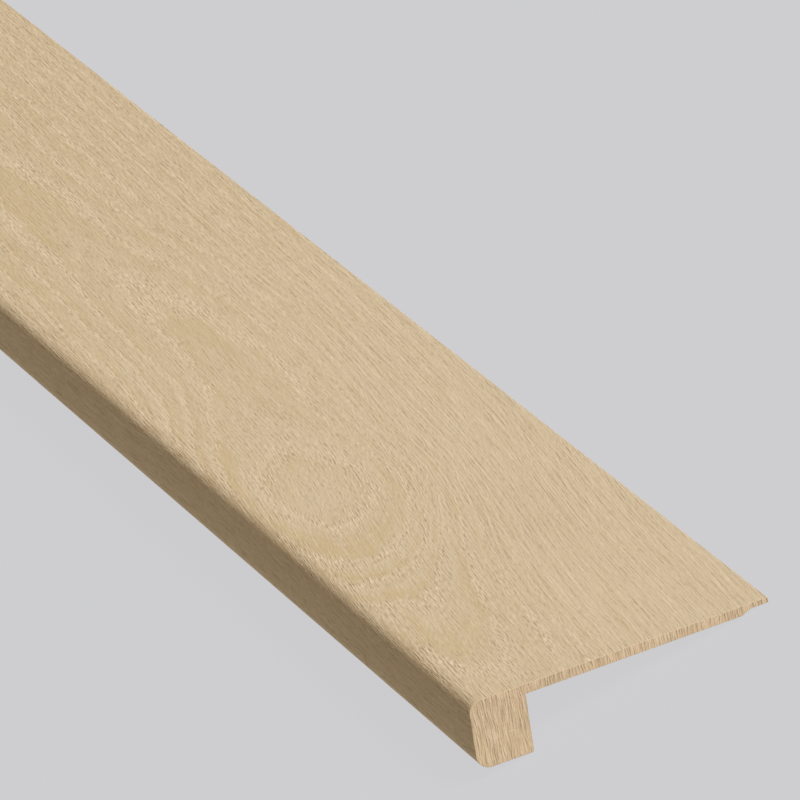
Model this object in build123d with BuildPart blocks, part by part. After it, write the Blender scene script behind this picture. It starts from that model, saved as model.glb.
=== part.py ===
from build123d import *
import os
from math import atan2, cos, sin

# A flush stair nosing: one moulded length of oak that finishes the front edge of a stair tread.
# A thin plate lies on the tread, level with the floor boards behind it. A thicker nose hangs down
# in front of the riser, with both of its front corners rounded. Along the back edge the plate is
# cut away from below, up a sloped shoulder, which leaves a thin lip over the first floor board.
#
# The length runs along X, the nose faces -Y and the lip faces +Y. The nosing lies as it comes to
# rest on a level floor: it has tipped back off its narrow nose, so that it stands on the nose's
# inner bottom edge and on the lip's lower edge. The origin is on the floor, at the middle of it.

# Driving dimensions, in millimetres.
length = 1200.0
overall_width = 110.0
nose_drop = 25.0
nose_width = 20.5
nose_top_radius = 4.0
nose_bottom_radius = 5.5
plate_thickness = 3.6
lip_width = 6.4
lip_thickness = 2.0
shoulder_run = 3.6
eased_edge_radius = 0.4

# The attitude at rest. Its two eased edges on the floor have one radius, so the floor is parallel
# to the line from the nose's inner bottom corner to the lip's lower corner.
rest_tilt = atan2(nose_drop - lip_thickness, overall_width - nose_width)


def across_floor(depth, height):
    """Distance towards +Y of a point of the section, from the foot of the nose's front face."""
    return depth * cos(rest_tilt) + height * sin(rest_tilt)


def above_floor(depth, height):
    """Height of a point of the section, from the foot of the nose's front face."""
    return height * cos(rest_tilt) - depth * sin(rest_tilt)


foot_rise = above_floor(nose_width - eased_edge_radius, eased_edge_radius) - eased_edge_radius
foremost = across_floor(nose_bottom_radius, nose_bottom_radius) - nose_bottom_radius
hindmost = (
    across_floor(overall_width - eased_edge_radius, nose_drop - eased_edge_radius)
    + eased_edge_radius
)

# The section's own axes: x is the depth back from the nose's front face, y is the height up from
# the nose's underside, and both lean with the nosing.
section_plane = Plane(
    origin=(0, -(foremost + hindmost) / 2, -foot_rise),
    x_dir=(0, cos(rest_tilt), -sin(rest_tilt)),
    z_dir=(1, 0, 0),
)

with BuildPart() as stair_nosing:
    with BuildSketch(section_plane) as section:
        with BuildLine() as outline:
            plate_underside = nose_drop - plate_thickness
            lip_underside = nose_drop - lip_thickness
            lip_root = overall_width - lip_width
            Polyline(
                (0, 0),
                (nose_width, 0),
                (nose_width, plate_underside),
                (lip_root - shoulder_run, plate_underside),
                (lip_root, lip_underside),
                (overall_width, lip_underside),
                (overall_width, nose_drop),
                (0, nose_drop),
                close=True,
            )
        make_face()
        # The nose's two front corners.
        front_corners = section.vertices().group_by(Axis.X)[0].sort_by(Axis.Y)
        fillet(front_corners[-1], nose_top_radius)
        fillet(section.vertices().group_by(Axis.X)[0].sort_by(Axis.Y)[0], nose_bottom_radius)
        # The long edges that a hand meets: the nose's inner bottom one and the lip's two.
        nose_heel = section.vertices().group_by(Axis.Y)[0].sort_by(Axis.X)[-1]
        lip_edges = section.vertices().group_by(Axis.X)[-1]
        fillet(lip_edges + [nose_heel], eased_edge_radius)
    extrude(amount=length / 2, both=True)

stair_nosing.part.label = "stair_nosing"

os.makedirs("parts", exist_ok=True)
export_step(stair_nosing.part, "parts/stair_nosing.step")
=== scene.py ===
from math import atan2, cos, radians, sin

import bmesh
import bpy
from mathutils import Matrix, Vector


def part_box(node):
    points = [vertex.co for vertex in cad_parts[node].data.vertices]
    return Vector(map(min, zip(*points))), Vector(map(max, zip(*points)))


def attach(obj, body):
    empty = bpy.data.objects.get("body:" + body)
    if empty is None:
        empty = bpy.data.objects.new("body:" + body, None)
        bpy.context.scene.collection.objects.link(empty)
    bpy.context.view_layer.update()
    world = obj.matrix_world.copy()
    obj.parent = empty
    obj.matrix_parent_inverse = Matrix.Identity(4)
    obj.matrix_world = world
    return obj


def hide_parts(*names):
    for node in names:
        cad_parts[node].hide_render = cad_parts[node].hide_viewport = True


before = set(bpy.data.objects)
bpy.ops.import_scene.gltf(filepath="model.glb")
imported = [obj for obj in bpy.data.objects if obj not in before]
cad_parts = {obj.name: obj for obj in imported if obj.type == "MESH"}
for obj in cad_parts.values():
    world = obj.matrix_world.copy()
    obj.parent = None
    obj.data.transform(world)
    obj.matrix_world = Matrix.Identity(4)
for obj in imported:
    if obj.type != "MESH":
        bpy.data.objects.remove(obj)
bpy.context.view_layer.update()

bl_info = {
    "name": "Oak Stair Nosing",
    "version": (1, 0, 0),
    "blender": (4, 5, 0),
    "location": "3D View > Sidebar > Stair Nosing",
    "description": "Models a moulded oak nosing for a stair tread's front edge, and its studio",
    "category": "Object",
}

MM = 0.001
NODE = "stair_nosing"
BODY = "root"
MAPPED = 1000.0  # the grain is drawn in millimetres
CAD_BOX_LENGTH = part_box(NODE)[1].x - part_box(NODE)[0].x
ALONG, DEPTH, UP = range(3)  # the mesh's axes while it is modelled, before it leans

# How finely the mesh is cut: the roundings, and the faces that carry the brushed relief.
NOSE_SEGMENTS = 9
EASED_SEGMENTS = 3
TOP_CUTS = 131
FRONT_CUTS = 18
LENGTH_CUTS = 499
SMOOTH_BELOW = radians(28)

# The tree's heart runs below the board. Each row is a place along the board, in millimetres back
# from the near end, with the heart's place across the board and its depth below the top face.
HEART = (
    (-1200, 46, 76.0),
    (-1080, 52, 73.0),
    (-980, 40, 66.0),
    (-900, 34, 62.5),
    (-820, 38, 66.5),
    (-720, 50, 71.5),
    (-620, 55, 70.5),
    (-540, 52, 68.5),
    (-470, 44, 67.0),
    (-400, 44, 66.4),
    (-340, 45, 64.9),
    (-285, 46, 63.9),
    (-258, 42, 63.4),
    (-232, 35, 62.4),
    (-208, 30, 61.5),
    (-185, 27, 59.5),
    (-168, 27, 58.8),
    (-152, 26, 59.6),
    (-141, 24, 60.7),
    (-115, 20, 64.7),
    (-98, 18, 67.5),
    (-76, 18, 70.1),
    (-48, 18, 72.2),
    (-24, 18, 73.1),
    (0, 18, 74.6),
)
# The heart's general run, which rings far from it keep to.
HEART_RUN = (
    (-1200, 44, 72.0),
    (-900, 47, 68.0),
    (-620, 52, 69.0),
    (-300, 38, 65.0),
    (-200, 30, 63.5),
    (-150, 26, 64.5),
    (-100, 23, 68.0),
    (0, 19, 75.0),
)
# How far the fibres have drifted towards the nose by each place along the board.
FIBRE_LEAN = (
    (-1200, 0),
    (-900, 18),
    (-600, 36),
    (-450, 45),
    (-350, 50.5),
    (-270, 56),
    (-220, 60),
    (-170, 66.5),
    (-120, 75.5),
    (-70, 83),
    (0, 89),
)
# The least and the most that each of those curves can give, in millimetres.
HEART_ACROSS = (0, 110)
HEART_BELOW = (50, 90)
LEAN_REACH = (0, 100)
FIRST_RING = 61.1  # how far from the heart the years are counted from, in millimetres
RING_WIDTH = 3.0  # how wide a year's ring is, in millimetres
FIBRE_WANDER = 3.2  # how far the fibres stray sideways, in millimetres
RING_WANDER = 2.2  # how far a ring strays from its circle, in millimetres
YEAR_SPREAD = 1.1  # how unevenly wide the years are
RING_TEAR = 0.6  # how far the fibres tear a ring's edges, in years

# The studio. The camera stands where the photograph's was, worked out from the nosing's edges.
FLOOR_SIZE = 12
FLOOR_DROP = 0.2 * MM
FLOOR_LIT = 0.035  # the share of the floor's brightness that comes from the lights
LIGHT_ON_FLOOR = 0.875  # how bright the lights alone make a white floor
TOWARDS_LAMP = Vector((0.551, 0.451, 0.702))
LAMP_SPREAD = radians(30)
CAMERA_PLACE = Vector((2.902951, -0.627697, 1.559820))
CAMERA_RIGHT = Vector((0.4340921, 0.82783579, -0.35531952))
CAMERA_UP = Vector((-0.34740497, 0.51774076, 0.78182753))
CAMERA_LENS = 395.273
CAMERA_SENSOR = 36
CAMERA_REACH = 50

MIX_SHARE, MIX_FIRST, MIX_SECOND, MIX_RESULT = 0, 6, 7, 2  # the Mix node's sockets for colours


class Value:
    """A number on its way through a node tree. Sums with it add the Math nodes for them."""

    def __init__(self, sheet, socket):
        self.sheet = sheet
        self.socket = socket

    def maths(self, operation, *others):
        sockets = dict(enumerate((self, *others)))
        return self.sheet.add("ShaderNodeMath", {"operation": operation}, sockets)

    def turned(self, operation, other):
        """The same sum the other way round, with this number second."""
        return self.sheet.add("ShaderNodeMath", {"operation": operation}, {0: other, 1: self})

    def __add__(self, other):
        return self.maths("ADD", other)

    def __sub__(self, other):
        return self.maths("SUBTRACT", other)

    def __mul__(self, other):
        return self.maths("MULTIPLY", other)

    def __truediv__(self, other):
        return self.maths("DIVIDE", other)

    def __radd__(self, other):
        return self.turned("ADD", other)

    def __rsub__(self, other):
        return self.turned("SUBTRACT", other)

    def __rmul__(self, other):
        return self.turned("MULTIPLY", other)

    def __neg__(self):
        return self * -1

    def part(self):
        """What is left over the whole number below."""
        return self.maths("FRACT")

    def size(self):
        return self.maths("ABSOLUTE")

    def root(self):
        return self.maths("SQRT")

    def least(self, other):
        return self.maths("MINIMUM", other)

    def most(self, other):
        return self.maths("MAXIMUM", other)

    def ramp(self, low, high, start=0.0, end=1.0):
        """Goes smoothly from start to end as the number goes from low to high."""
        settings = {"interpolation_type": "SMOOTHSTEP"}
        sockets = {"Value": self, "From Min": low, "From Max": high, "To Min": start, "To Max": end}
        return self.sheet.add("ShaderNodeMapRange", settings, sockets)


class Sheet:
    """A node tree that is being written: a material's, or a Geometry Nodes group's."""

    def __init__(self, tree):
        self.tree = tree

    def add(self, kind, settings=None, sockets=None, output=0):
        """Adds a node, sets it, fills its sockets with numbers or links, and gives an output."""
        node = self.tree.nodes.new(kind)
        for name, setting in (settings or {}).items():
            if name == "points":
                self.set_points(node.mapping, setting)
            else:
                setattr(node, name, setting)
        for name, value in (sockets or {}).items():
            if isinstance(value, Value):
                self.tree.links.new(value.socket, node.inputs[name])
            else:
                node.inputs[name].default_value = value
        return Value(self, node.outputs[output]) if len(node.outputs) else node

    def set_points(self, mapping, points):
        curve = mapping.curves[0]
        while len(curve.points) < len(points):
            curve.points.new(0.5, 0.5)
        for point, place in zip(curve.points, points):
            point.location = place
        mapping.update()

    def vector(self, x, y, z):
        return self.add("ShaderNodeCombineXYZ", None, {"X": x, "Y": y, "Z": z})

    def parts(self, vector):
        node = self.add("ShaderNodeSeparateXYZ", None, {0: vector}).socket.node
        return [Value(self, socket) for socket in node.outputs]

    def noise(self, place, detail=0.0, roughness=0.5, dimensions="3D"):
        """Noise in clouds about one unit wide, between 0 and 1 and about 0.5 on average."""
        sockets = {"Vector": place, "Scale": 1.0, "Detail": detail, "Roughness": roughness}
        return self.add("ShaderNodeTexNoise", {"noise_dimensions": dimensions}, sockets)

    def blend(self, share, first, second):
        """The second colour over the first, by a share between 0 and 1."""
        settings = {"data_type": "RGBA", "clamp_factor": True}
        sockets = {MIX_SHARE: share, MIX_FIRST: first, MIX_SECOND: second}
        return self.add("ShaderNodeMix", settings, sockets, output=MIX_RESULT)

    def curve(self, value, rows, low, high):
        """Follows rows of (place, height) smoothly; the heights lie between low and high."""
        start = rows[0][0]
        run = rows[-1][0] - start
        points = [((place - start) / run, (height - low) / (high - low)) for place, height in rows]
        sockets = {"Value": (value - start) / run}
        bent = self.add("ShaderNodeFloatCurve", {"points": points}, sockets)
        return bent * (high - low) + low


class Grain:
    """The oak's inner structure at each point, the same in the mesh's relief and in its colours.

    Places are in millimetres: along runs back from the near end, depth from the nose's front, and
    height from its underside.
    """

    def __init__(self, sheet, along, depth, height):
        self.sheet = sheet
        self.along = along
        self.height = height
        top = MAPPED * bpy.context.scene.nosing_sizes.nose_drop
        wander = sheet.noise(sheet.vector(along / 95, depth / 34, height / 34), 1.0)
        self.depth = depth + (wander - 0.5) * FIBRE_WANDER
        self.fibre = self.depth + sheet.curve(along, FIBRE_LEAN, *LEAN_REACH)
        # Far from the heart the rings follow its general run, not its every bend.
        near_place, near_below = self.heart(along, HEART)
        far_place, far_below = self.heart(along, HEART_RUN)
        nearness = (self.depth - far_place).size().ramp(62, 14)
        self.across = self.depth - far_place + (far_place - near_place) * nearness
        down = height - top + far_below + (near_below - far_below) * nearness
        self.reach = (self.across * self.across + down * down).root()
        uneven = sheet.noise(sheet.vector(along / 40, depth / 9, height / 9), 2.0)
        years = (self.reach + (uneven - 0.5) * RING_WANDER - FIRST_RING) / RING_WIDTH
        lean = sheet.noise(sheet.vector(years * 0.43, 7.3, 2.1))
        self.years = years + (lean - 0.5) * YEAR_SPREAD

    def heart(self, along, rows):
        """The heart's place across the board, and its depth below the top, by such rows."""
        place = self.sheet.curve(along, [row[:2] for row in rows], *HEART_ACROSS)
        return place, self.sheet.curve(along, [(row[0], row[2]) for row in rows], *HEART_BELOW)

    def streak(self, length, width, detail, shift=0.0):
        """Noise drawn out along the fibres: length by width, in millimetres."""
        place = self.sheet.vector(
            self.along / length + shift, self.fibre / width, self.height / width
        )
        return self.sheet.noise(place, detail)

    def stroke(self, length, width, detail, shift):
        """Like a streak, around 0 and sharper, drawn over the section's outline."""
        girth = (self.fibre + self.height) / width
        place = self.sheet.vector(self.along / length + shift, girth, 0)
        return self.sheet.noise(place, detail, dimensions="2D") - 0.5

    def ring(self, length, width, detail, shift, roughness=0.5):
        """Like a stroke, but it follows the rings around the heart instead of the fibres."""
        place = self.sheet.vector(self.along / length + shift, self.reach / width, 0)
        return self.sheet.noise(place, detail, roughness, dimensions="2D") - 0.5

    def season(self, tear=0.0):
        """How far a year has run at each point, with its edges torn along the fibres."""
        if not tear:
            return self.years.part()
        torn = (self.streak(9, 0.7, 1.0, 31.0) - 0.5) * tear
        return (self.years + torn).part()


def section_in_shader(sheet):
    """Places in the section's own directions, in millimetres, from Object coordinates."""
    place = sheet.add("ShaderNodeTexCoord", output="Object")
    lean = rest_lean()
    origin = rest_origin()
    sockets = {
        "Vector": place,
        "Scale": (MAPPED, MAPPED, MAPPED),
        "Rotation": (lean, 0, 0),
        "Location": (
            -MAPPED * CAD_BOX_LENGTH / 2,
            -MAPPED * (origin.y * cos(lean) - origin.z * sin(lean)),
            -MAPPED * (origin.y * sin(lean) + origin.z * cos(lean)),
        ),
    }
    mapped = sheet.add("ShaderNodeMapping", {"vector_type": "POINT"}, sockets)
    return sheet.parts(mapped)


class NosingSizes(bpy.types.PropertyGroup):
    """The nosing's section, as it is moulded."""

    length: bpy.props.FloatProperty(
        name="Length", description="Length of the nosing", default=CAD_BOX_LENGTH, unit="LENGTH"
    )
    overall_width: bpy.props.FloatProperty(
        name="Width", description="From the nose's front to the lip's edge",
        default=110 * MM, unit="LENGTH",
    )
    nose_drop: bpy.props.FloatProperty(
        name="Nose drop", description="Height of the nose", default=25 * MM, unit="LENGTH"
    )
    nose_width: bpy.props.FloatProperty(
        name="Nose thickness", description="From the nose's front to its inner face",
        default=20.5 * MM, unit="LENGTH",
    )
    nose_top_radius: bpy.props.FloatProperty(
        name="Top rounding", description="Radius where the tread meets the nose's front",
        default=4 * MM, unit="LENGTH",
    )
    nose_bottom_radius: bpy.props.FloatProperty(
        name="Bottom rounding", description="Radius of the nose's lower front corner",
        default=5.5 * MM, unit="LENGTH",
    )
    plate_thickness: bpy.props.FloatProperty(
        name="Plate thickness", description="Thickness of the part on the tread",
        default=3.6 * MM, unit="LENGTH",
    )
    lip_width: bpy.props.FloatProperty(
        name="Lip width", description="How far the lip reaches over the floor board",
        default=6.4 * MM, unit="LENGTH",
    )
    lip_thickness: bpy.props.FloatProperty(
        name="Lip thickness", description="Thickness of the lip", default=2 * MM, unit="LENGTH"
    )
    shoulder_run: bpy.props.FloatProperty(
        name="Shoulder run", description="Width of the slope under the lip's root",
        default=3.6 * MM, unit="LENGTH",
    )
    eased_edge_radius: bpy.props.FloatProperty(
        name="Eased edges", description="Radius of the heel's and the lip's long edges",
        default=0.4 * MM, unit="LENGTH",
    )
    sawn_edge_ease: bpy.props.FloatProperty(
        name="Sawn edges", description="How far the sawn ends' edges are broken",
        default=0.12 * MM, unit="LENGTH",
    )


class OakFinish(bpy.types.PropertyGroup):
    """The oak's colours and relief."""

    pale_wood: bpy.props.FloatVectorProperty(
        name="Pale wood", description="Wood grown in summer",
        default=(0.645, 0.530, 0.379), size=3, min=0, max=1, subtype="COLOR",
    )
    late_wood: bpy.props.FloatVectorProperty(
        name="Late wood", description="Denser wood at the end of a year's ring",
        default=(0.607, 0.475, 0.300), size=3, min=0, max=1, subtype="COLOR",
    )
    pore_band: bpy.props.FloatVectorProperty(
        name="Pore band", description="Wood between the open pores of spring",
        default=(0.662, 0.525, 0.372), size=3, min=0, max=1, subtype="COLOR",
    )
    # Painted highlight: the colour painted where the brushed relief and the nose's rounding catch
    # the light.
    crest_highlight: bpy.props.FloatVectorProperty(
        name="Crests", description="Fibres that brushing has left proud",
        default=(0.825, 0.703, 0.525), size=3, min=0, max=1, subtype="COLOR",
    )
    # Partly the nose's own deeper wood, and partly the warm tint of the shade on its front, painted
    # in.
    front_wood_and_shade: bpy.props.FloatVectorProperty(
        name="Front wood", description="Wood of the nose's front, cut across the rings",
        default=(0.650, 0.500, 0.300), size=3, min=0, max=1, subtype="COLOR",
    )
    # Also the colour of painted shade in the furrows of the relief and on the nose's rounding.
    pore_and_shade: bpy.props.FloatVectorProperty(
        name="Pores", description="Open pores", default=(0.43, 0.325, 0.20),
        size=3, min=0, max=1, subtype="COLOR",
    )
    end_wood: bpy.props.FloatVectorProperty(
        name="End grain", description="Sawn end grain", default=(0.646, 0.480, 0.306),
        size=3, min=0, max=1, subtype="COLOR",
    )
    relief: bpy.props.FloatProperty(
        name="Brushed relief", description="How deep the brushed rings lie",
        default=0.08 * MM, unit="LENGTH",
    )


class StudioLook(bpy.types.PropertyGroup):
    """The floor and the light."""

    floor: bpy.props.FloatVectorProperty(
        name="Floor", description="Colour of the floor", default=(0.617, 0.618, 0.636),
        size=3, min=0, max=1, subtype="COLOR",
    )
    lamp: bpy.props.FloatProperty(
        name="Lamp", description="Strength of the soft main light", default=3.2, min=0
    )
    room: bpy.props.FloatVectorProperty(
        name="Room light", description="Light from all around",
        default=(0.185, 0.14, 0.07), size=3, min=0, max=1, subtype="COLOR",
    )


def rest_lean():
    """The angle by which the nosing has tipped back off its nose."""
    sizes = bpy.context.scene.nosing_sizes
    return atan2(sizes.nose_drop - sizes.lip_thickness, sizes.overall_width - sizes.nose_width)


def rest_origin():
    """Where the foot of the nose's front face lies at rest, before any rounding."""
    sizes = bpy.context.scene.nosing_sizes
    lean = rest_lean()
    ease = sizes.eased_edge_radius

    def back(depth, height):
        return depth * cos(lean) + height * sin(lean)

    def up(depth, height):
        return height * cos(lean) - depth * sin(lean)

    low = up(sizes.nose_width - ease, ease) - ease
    front = back(sizes.nose_bottom_radius, sizes.nose_bottom_radius) - sizes.nose_bottom_radius
    rear = back(sizes.overall_width - ease, sizes.nose_drop - ease) + ease
    return Vector((0, -(front + rear) / 2, -low))


def pick(piece, kind, test):
    """Selects only those faces or edges that pass the test."""
    bpy.ops.mesh.select_all(action="DESELECT")
    bpy.ops.mesh.select_mode(type=kind)
    shape = bmesh.from_edit_mesh(piece.data)
    found = 0
    for item in shape.faces if kind == "FACE" else shape.edges:
        if test(item):
            item.select_set(True)
            found += 1
    bmesh.update_edit_mesh(piece.data)
    if not found:
        raise RuntimeError("nothing to select on " + piece.name)


def middle(item):
    return sum((vertex.co for vertex in item.verts), Vector()) / len(item.verts)


def near(place, target):
    return abs(place - target) < 0.01 * MM


def span(edge):
    return (edge.verts[1].co - edge.verts[0].co).length


def runs_along(edge, axis):
    run = edge.verts[1].co - edge.verts[0].co
    return abs(run[axis]) > 0.999 * run.length


def round_edge(piece, depth, height, radius, segments):
    """Rounds the long edge that lies at this place of the section."""
    pick(
        piece, "EDGE",
        lambda edge: runs_along(edge, ALONG) and near(middle(edge).y, depth)
        and near(middle(edge).z, height),
    )
    bpy.ops.mesh.bevel(offset=radius, segments=segments, affect="EDGES", clamp_overlap=False)


def slice_ring(piece, test, cuts):
    """Cuts evenly across the ring of faces between the edges that pass the test."""
    pick(piece, "EDGE", test)
    bpy.ops.mesh.subdivide_edgering(number_cuts=cuts, interpolation="LINEAR", smoothness=0)


def mould_profile(piece, sizes):
    """Draws the plate and the lip out of the nose's block, and rounds the long edges."""
    under = sizes.nose_drop - sizes.plate_thickness
    lip_under = sizes.nose_drop - sizes.lip_thickness
    lip_root = sizes.overall_width - sizes.lip_width
    bpy.ops.mesh.select_all(action="SELECT")
    bpy.ops.mesh.bisect(plane_co=(0, 0, under), plane_no=(0, 0, 1))
    pick(piece, "FACE", lambda face: face.normal.y > 0.9 and middle(face).z > under)
    for reach in (lip_root - sizes.shoulder_run - sizes.nose_width, sizes.shoulder_run):
        bpy.ops.mesh.extrude_region_move(TRANSFORM_OT_translate={"value": (0, reach, 0)})
    pick(
        piece, "EDGE",
        lambda edge: runs_along(edge, ALONG) and near(middle(edge).y, lip_root)
        and near(middle(edge).z, under),
    )
    bpy.ops.transform.translate(value=(0, 0, lip_under - under))
    pick(piece, "FACE", lambda face: face.normal.y > 0.9 and near(middle(face).y, lip_root))
    bpy.ops.mesh.extrude_region_move(TRANSFORM_OT_translate={"value": (0, sizes.lip_width, 0)})
    bpy.ops.mesh.select_all(action="SELECT")
    bpy.ops.mesh.dissolve_limited(angle_limit=radians(0.5))
    round_edge(piece, 0, sizes.nose_drop, sizes.nose_top_radius, NOSE_SEGMENTS)
    round_edge(piece, 0, 0, sizes.nose_bottom_radius, NOSE_SEGMENTS)
    for depth, height in (
        (sizes.nose_width, 0),
        (sizes.overall_width, lip_under),
        (sizes.overall_width, sizes.nose_drop),
    ):
        round_edge(piece, depth, height, sizes.eased_edge_radius, EASED_SEGMENTS)


def break_sawn_edges(piece, sizes):
    """Takes the sharpness off the sawn ends' edges."""
    pick(piece, "FACE", lambda face: abs(face.normal.x) > 0.9)
    bpy.ops.mesh.inset(
        thickness=sizes.sawn_edge_ease, depth=sizes.sawn_edge_ease, use_even_offset=True
    )


def slice_faces(piece, sizes):
    """Cuts the top and the front finely enough to carry the brushed relief."""
    top = sizes.nose_drop - 0.5 * MM
    front = 0.5 * MM
    widths = sizes.overall_width / 2
    heights = sizes.nose_drop / 5
    lengths = 0.9 * sizes.length
    slice_ring(
        piece,
        lambda edge: runs_along(edge, DEPTH) and middle(edge).z > top and span(edge) > widths,
        TOP_CUTS,
    )
    slice_ring(
        piece,
        lambda edge: runs_along(edge, UP) and middle(edge).y < front and span(edge) > heights,
        FRONT_CUTS,
    )
    slice_ring(piece, lambda edge: span(edge) > lengths, LENGTH_CUTS)


def brush_relief(piece, depth):
    """Sinks the porous part of each ring below the dense part, as a wire brush does."""
    group = bpy.data.node_groups.new("brushed rings", "GeometryNodeTree")
    group.interface.new_socket("Geometry", in_out="INPUT", socket_type="NodeSocketGeometry")
    group.interface.new_socket("Geometry", in_out="OUTPUT", socket_type="NodeSocketGeometry")
    sheet = Sheet(group)
    shape = sheet.add("NodeGroupInput")
    place = sheet.add(
        "ShaderNodeVectorMath", {"operation": "SCALE"},
        {0: sheet.add("GeometryNodeInputPosition"), "Scale": MAPPED},
    )
    x, y, z = sheet.parts(place)
    grain = Grain(sheet, x - MAPPED * CAD_BOX_LENGTH / 2, y, z)
    normal = sheet.add("GeometryNodeInputNormal")
    _, facing_back, facing_up = sheet.parts(normal)
    shown = facing_up.ramp(0.1, 0.6).most((-facing_back).ramp(0.3, 0.8))
    season = grain.season()
    porous = (1 - season.ramp(0.05, 0.5)) * season.ramp(0.0, 0.05)
    fibres = grain.streak(14, 1.9, 1.0)
    sunk = (porous * 0.55 + fibres * 0.9) * shown
    offset = sheet.add(
        "ShaderNodeVectorMath", {"operation": "SCALE"}, {0: normal, "Scale": sunk * -depth}
    )
    moved = sheet.add("GeometryNodeSetPosition", None, {"Geometry": shape, "Offset": offset})
    sheet.add("NodeGroupOutput", None, {0: moved})
    bpy.ops.object.modifier_add(type="NODES")
    modifier = piece.modifiers[-1]
    modifier.node_group = group
    bpy.ops.object.modifier_apply(modifier=modifier.name)


def tinted(colour, *factors):
    """A colour for a socket, with each of its parts times a factor."""
    return (*[min(1.0, part * factor) for part, factor in zip(colour, factors)], 1.0)


def four(colour, factor=1.0):
    """A colour for a socket, with all of it times a factor."""
    return tinted(colour, factor, factor, factor)


def new_material(name, roughness, specular):
    """A material with its own Principled shader; gives the material, its sheet and the shader."""
    material = bpy.data.materials.new(name)
    material.use_nodes = True
    shader = material.node_tree.nodes["Principled BSDF"]
    shader.inputs["Roughness"].default_value = roughness
    shader.inputs["Specular IOR Level"].default_value = specular
    return material, Sheet(material.node_tree), shader


def dress(sheet, shader, colour, height):
    """Gives the shader its colour, and lets a height in millimetres catch the light."""
    raised = sheet.add("ShaderNodeBump", None, {"Height": height, "Strength": 1.0, "Distance": MM})
    sheet.tree.links.new(colour.socket, shader.inputs["Base Color"])
    sheet.tree.links.new(raised.socket, shader.inputs["Normal"])


class Figure:
    """Where the long faces show each kind of wood, in shares between 0 and 1."""

    def __init__(self, grain, along, depth, height):
        self.grain = grain
        self.along = along
        self.depth = depth
        self.height = height
        # The rings are cut flat over the heart. Near the near end they draw a flame, and towards
        # the far end the wood is plainer and its colour a little darker.
        self.heart = grain.across.size().ramp(46, 18)
        self.flame = along.ramp(-300, -190)
        self.far = along.ramp(-130, -560)
        # A year starts with a band of open pores, pales, and ends in dense khaki wood.
        self.season = grain.season(RING_TEAR)
        self.pores = (1 - self.season.ramp(0.12, 0.34)) * self.season.ramp(0.0, 0.02)
        self.dense = self.dense_wood()
        # Brushing opens the pores in places, least in the innermost year.
        self.broken = grain.streak(26, 7, 1.0, shift=53.0).ramp(0.35, 0.6)
        open_pores = self.pores * (self.heart * 0.8 + 0.2) * (self.broken * 0.6 + 0.4)
        self.open_pores = open_pores * grain.years.ramp(0.5, 1.5, 0.6, 1)
        self.front = depth.ramp(5, 0.5) * height.ramp(23.6, 20.2)

    def dense_wood(self):
        """Dense wood shows best in the flame, and least in its innermost year and far side."""
        years, along = self.grain.years, self.along
        patches = self.grain.streak(60, 3.4, 2.0)
        wide = (years - 0.55).size().ramp(0.7, 0.4) * along.ramp(-215, -150)
        dense = (self.season + (patches - 0.5) * 1.1 + wide * 0.25).ramp(0.5, 1.05)
        dense = dense * (1 - self.season.ramp(0.98, 1.0)) * (self.heart * self.flame * 0.32 + 0.45)
        far_side = self.grain.across.ramp(18, -4, 1 - self.flame * 0.45, 1)
        inner = years.ramp(-0.15, 0.35, 0.5, 1) * far_side
        return dense * inner * along.ramp(10, -75, 0.4, 1)

    def year_start(self, strokes):
        """A thin line where each year starts, broken by the strokes of the brush."""
        line = (1 - self.season.ramp(0.03, 0.07)) * self.season.ramp(0.0, 0.01)
        line = line * strokes.ramp(0.16, -0.06) * (self.heart * 0.6 + 0.3)
        return line * (1 - self.front) * self.broken


def wood_colour(sheet, figure, finish):
    """The board's colour before brushing. It pales towards the near end and the lip."""
    grain, far = figure.grain, figure.far
    drift = figure.depth.ramp(10, 105) * 0.28 - far * 0.42
    clouds = grain.ring(120, 2.0, 2.0, shift=5.0, roughness=0.6)
    clouds = clouds * (1.0 - figure.heart * 0.2 - far * 0.3)
    threads = grain.stroke(45, 2.2, 1.0, shift=71.0) * (1.3 - far * 1.1)
    tone = (figure.dense + clouds + threads - drift + 0.13).most(0.0).least(1.0)
    colour = sheet.blend(tone, four(finish.pale_wood), four(finish.late_wood))
    spring = figure.pores * (figure.heart * 0.5 + 0.3)
    colour = sheet.blend(spring, colour, four(finish.pore_band))
    # Painted highlight on the bands of open pores.
    colour = sheet.blend(figure.pores * (0.22 - figure.flame * 0.12), colour, four(finish.crest_highlight))
    # Darker towards the far end.
    return sheet.blend(far * 0.055, colour, four(finish.pore_and_shade))


def nose_colour(sheet, figure, finish, colour):
    """The nose was cut across the rings, where the wood is deeper in tone; it also carries painted
    shade and a painted highlight.
    """
    depth, height = figure.depth, figure.height
    # Painted shade: a faint band of shade across the rounding, a few millimetres back from the
    # front.
    rounding = depth.ramp(6.2, 4) * depth.ramp(0.5, 2.2)
    colour = sheet.blend(rounding * 0.08, colour, four(finish.pore_and_shade))
    # Painted shade on the nose's front: lighter at its foot and darker and warmer under the
    # rounding, as the light falls there. The front's colour itself is partly its wood and partly
    # the warm tint of its shade.
    low = tinted(finish.front_wood_and_shade, 1.08, 1.08, 1.07)
    high = tinted(finish.front_wood_and_shade, 0.96, 0.92, 0.85)
    colour = sheet.blend(figure.front * 0.7, colour, sheet.blend(height.ramp(3, 21), low, high))
    # Painted highlight: the top of the rounding is painted a little brighter and warmer.
    rounding_highlight = depth.ramp(2.8, 0.4) * height.ramp(20.5, 23)
    return sheet.blend(rounding_highlight * 0.4, colour, tinted(finish.crest_highlight, 0.97, 0.88, 0.8))


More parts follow.
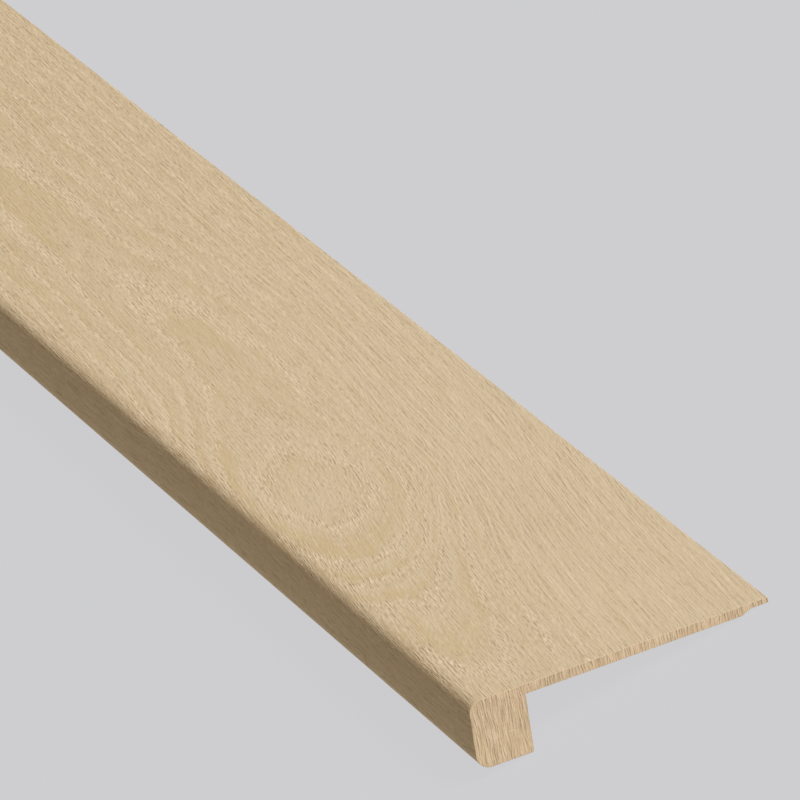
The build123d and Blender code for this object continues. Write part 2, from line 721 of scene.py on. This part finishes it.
def brush_strokes(figure):
    """Ridges of the brush: short ones between the pores, and longer ones along the fibres.

    The dense wood stays smooth, and the nose's top edge is brushed the most.
    """
    heart, flame, far = figure.heart, figure.flame, figure.far
    edge = figure.depth.ramp(13, 3)
    rough = 1 - figure.dense * (heart * 0.45 + 0.15)
    dashes = rough * (0.29 + heart * flame * 0.18 + far * 0.24)
    dashes = dashes + figure.open_pores * (0.45 + flame * 0.1)
    dashes = figure.grain.stroke(3.1, 0.62, 0.4, shift=3.0) * (dashes + edge * 0.14)
    fibres = rough * (0.5 + heart * 0.06 + far * 0.2) + edge * 0.35
    fibres = figure.grain.stroke(13.0, 0.66, 1.0, shift=9.0) * fibres
    return dashes + fibres


def long_grain_material(finish):
    """Brushed pale oak on the long faces: rings, bands of open pores, and fine fibres."""
    material, sheet, shader = new_material("oak, long grain", 0.72, 0.1)
    along, depth, height = section_in_shader(sheet)
    figure = Figure(Grain(sheet, along, depth, height), along, depth, height)
    strokes = brush_strokes(figure)
    # On the flanks of the heart the longest ridges follow the rings.
    growth = figure.grain.ring(70.0, 0.60, 1.0, shift=17.0)
    growth = growth * (0.5 - figure.heart * 0.3 - figure.far * 0.24)
    ridges = (strokes + growth) * (1 - figure.front * 0.12)
    colour = nose_colour(sheet, figure, finish, wood_colour(sheet, figure, finish))
    # The grooves of the relief get the dark of open pores together with painted shade, and its
    # crests a painted highlight.
    pores_and_furrow_shade = (ridges * -2.3 - 0.07).most(0.0).least(0.7)
    colour = sheet.blend(pores_and_furrow_shade, colour, four(finish.pore_and_shade))
    painted_crests = (ridges * (figure.open_pores * 0.25 + 1.6) - 0.05).most(0.0).least(0.7)
    colour = sheet.blend(painted_crests, colour, four(finish.crest_highlight))
    colour = sheet.blend(figure.year_start(strokes) * 0.17, colour, four(finish.pore_and_shade))
    dress(sheet, shader, colour, ridges * (0.38 - depth.ramp(5, 1.5) * 0.2))
    return material


def end_grain_material(finish):
    """Sawn end grain: wavy rays that stand upright, with pores along them."""
    material, sheet, shader = new_material("oak, end grain", 0.75, 0.1)
    along, depth, height = section_in_shader(sheet)
    sway = sheet.noise(sheet.vector(along / 20, depth / 5, height / 6), 1.0)
    bent = depth + (sway - 0.5) * 1.3 + height * 0.04
    # The two ends have rays of their own.
    side = along.ramp(-600, -599) * 31
    rays = sheet.noise(sheet.vector(bent / 0.52 + side, height / 7, 0), 0.6, 0.5, "2D") - 0.5
    specks = sheet.noise(sheet.vector(bent / 0.4 + side, height / 1.6, 0), 1.0, 0.5, "2D") - 0.5
    tint = sheet.noise(sheet.vector(along / 20 + 4, depth / 8, height / 14), 1.0).ramp(0.35, 0.7)
    ridges = rays * 1.55 + specks * 0.4
    colour = sheet.blend(tint, four(finish.end_wood, 1.04), four(finish.end_wood, 0.95))
    # The grooves between the rays get the dark of pores together with painted shade, and the rays a
    # painted highlight.
    pores_and_furrow_shade = (ridges * -1.4).most(0.0).least(0.65)
    colour = sheet.blend(pores_and_furrow_shade, colour, four(finish.pore_and_shade, 0.95))
    colour = sheet.blend(ridges.most(0.0).least(0.6), colour, four(finish.crest_highlight))
    dress(sheet, shader, colour, ridges * 0.28)
    return material


class NOSING_OT_nosing(bpy.types.Operator):
    """Models the moulded nosing, brushes it and gives it its oak"""

    bl_idname = "nosing.nosing"
    bl_label = "Nosing"

    def execute(self, context):
        sizes = context.scene.nosing_sizes
        finish = context.scene.oak_finish
        bpy.ops.object.select_all(action="DESELECT")
        bpy.ops.mesh.primitive_cube_add(
            size=1, location=(0, sizes.nose_width / 2, sizes.nose_drop / 2)
        )
        piece = context.active_object
        piece.name = piece.data.name = "oak_nosing"
        piece.scale = (
            sizes.length - 2 * sizes.sawn_edge_ease, sizes.nose_width, sizes.nose_drop
        )
        bpy.ops.object.transform_apply(location=True, rotation=False, scale=True)
        bpy.ops.object.mode_set(mode="EDIT")
        mould_profile(piece, sizes)
        break_sawn_edges(piece, sizes)
        slice_faces(piece, sizes)
        bpy.ops.object.mode_set(mode="OBJECT")
        brush_relief(piece, finish.relief)
        piece.data.materials.append(long_grain_material(finish))
        piece.data.materials.append(end_grain_material(finish))
        for face in piece.data.polygons:
            face.material_index = int(abs(face.normal.x) > 0.9)
        bpy.ops.object.shade_smooth_by_angle(angle=SMOOTH_BELOW)
        piece.rotation_euler = (-rest_lean(), 0, 0)
        piece.location = rest_origin()
        bpy.ops.object.transform_apply(location=True, rotation=True, scale=True)
        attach(piece, BODY)
        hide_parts(NODE)
        return {"FINISHED"}


class NOSING_OT_stage(bpy.types.Operator):
    """Sets the floor, the soft light and the camera"""

    bl_idname = "nosing.stage"
    bl_label = "Studio"

    def execute(self, context):
        look = context.scene.studio_look
        bpy.ops.object.select_all(action="DESELECT")
        bpy.ops.mesh.primitive_plane_add(size=FLOOR_SIZE, location=(0, 0, -FLOOR_DROP))
        floor = context.active_object
        floor.name = "studio_floor"
        bpy.ops.object.transform_apply(location=True, rotation=True, scale=True)
        floor.data.materials.append(self.floor_material(look))
        self.light(context, look)
        self.camera(context)
        context.scene.view_settings.view_transform = "Standard"
        return {"FINISHED"}

    def floor_material(self, look):
        """A pale floor that mostly shines by itself, so that its colour is even."""
        material, sheet, shader = new_material("studio floor", 1.0, 0.0)
        shader.inputs["Base Color"].default_value = four(look.floor, FLOOR_LIT / LIGHT_ON_FLOOR)
        shader.inputs["Emission Color"].default_value = four(look.floor)
        shader.inputs["Emission Strength"].default_value = 1 - FLOOR_LIT
        return material

    def light(self, context, look):
        """Light from all around, and one soft lamp. The camera sees the floor's colour behind."""
        world = bpy.data.worlds.new("studio")
        context.scene.world = world
        world.use_nodes = True
        world.node_tree.nodes.clear()
        sheet = Sheet(world.node_tree)
        seen = sheet.add("ShaderNodeLightPath")
        room, backdrop = [
            sheet.add("ShaderNodeBackground", None, {"Color": four(colour), "Strength": 1.0})
            for colour in (look.room, look.floor)
        ]
        mixed = sheet.add("ShaderNodeMixShader", None, {0: seen, 1: room, 2: backdrop})
        sheet.add("ShaderNodeOutputWorld", None, {"Surface": mixed})
        bpy.ops.object.light_add(type="SUN", location=2 * TOWARDS_LAMP)
        lamp = context.active_object
        lamp.name = "soft_lamp"
        lamp.data.energy = look.lamp
        lamp.data.angle = LAMP_SPREAD
        lamp.rotation_euler = TOWARDS_LAMP.to_track_quat("Z", "Y").to_euler()

    def camera(self, context):
        """Stands the camera where the photograph's was."""
        back = CAMERA_RIGHT.cross(CAMERA_UP)
        turn = Matrix((CAMERA_RIGHT, CAMERA_UP, back)).transposed().to_4x4()
        bpy.ops.object.camera_add()
        camera = context.active_object
        camera.name = "photo_camera"
        camera.matrix_world = Matrix.Translation(CAMERA_PLACE) @ turn
        camera.data.lens = CAMERA_LENS
        camera.data.sensor_width = CAMERA_SENSOR
        camera.data.clip_end = CAMERA_REACH
        context.scene.camera = camera


class NOSING_PT_panel(bpy.types.Panel):
    """Lists the nosing's steps in the sidebar"""

    bl_label = "Stair Nosing"
    bl_space_type = "VIEW_3D"
    bl_region_type = "UI"
    bl_category = "Stair Nosing"

    def draw(self, context):
        for step in STEPS:
            self.layout.operator(step.bl_idname)
        for group in (
            context.scene.nosing_sizes, context.scene.oak_finish, context.scene.studio_look
        ):
            for name in group.bl_rna.properties.keys():
                if name not in ("rna_type", "name"):
                    self.layout.prop(group, name)


STEPS = (NOSING_OT_nosing, NOSING_OT_stage)
GROUPS = {
    "nosing_sizes": NosingSizes,
    "oak_finish": OakFinish,
    "studio_look": StudioLook,
}


def register():
    for group in GROUPS.values():
        bpy.utils.register_class(group)
    for name, group in GROUPS.items():
        setattr(bpy.types.Scene, name, bpy.props.PointerProperty(type=group))
    for step in (*STEPS, NOSING_PT_panel):
        bpy.utils.register_class(step)


def unregister():
    for step in (*STEPS, NOSING_PT_panel):
        bpy.utils.unregister_class(step)
    for name, group in GROUPS.items():
        delattr(bpy.types.Scene, name)
        bpy.utils.unregister_class(group)


def main():
    register()
    bpy.ops.nosing.nosing()
    bpy.ops.nosing.stage()


if __name__ == "__main__":
    main()
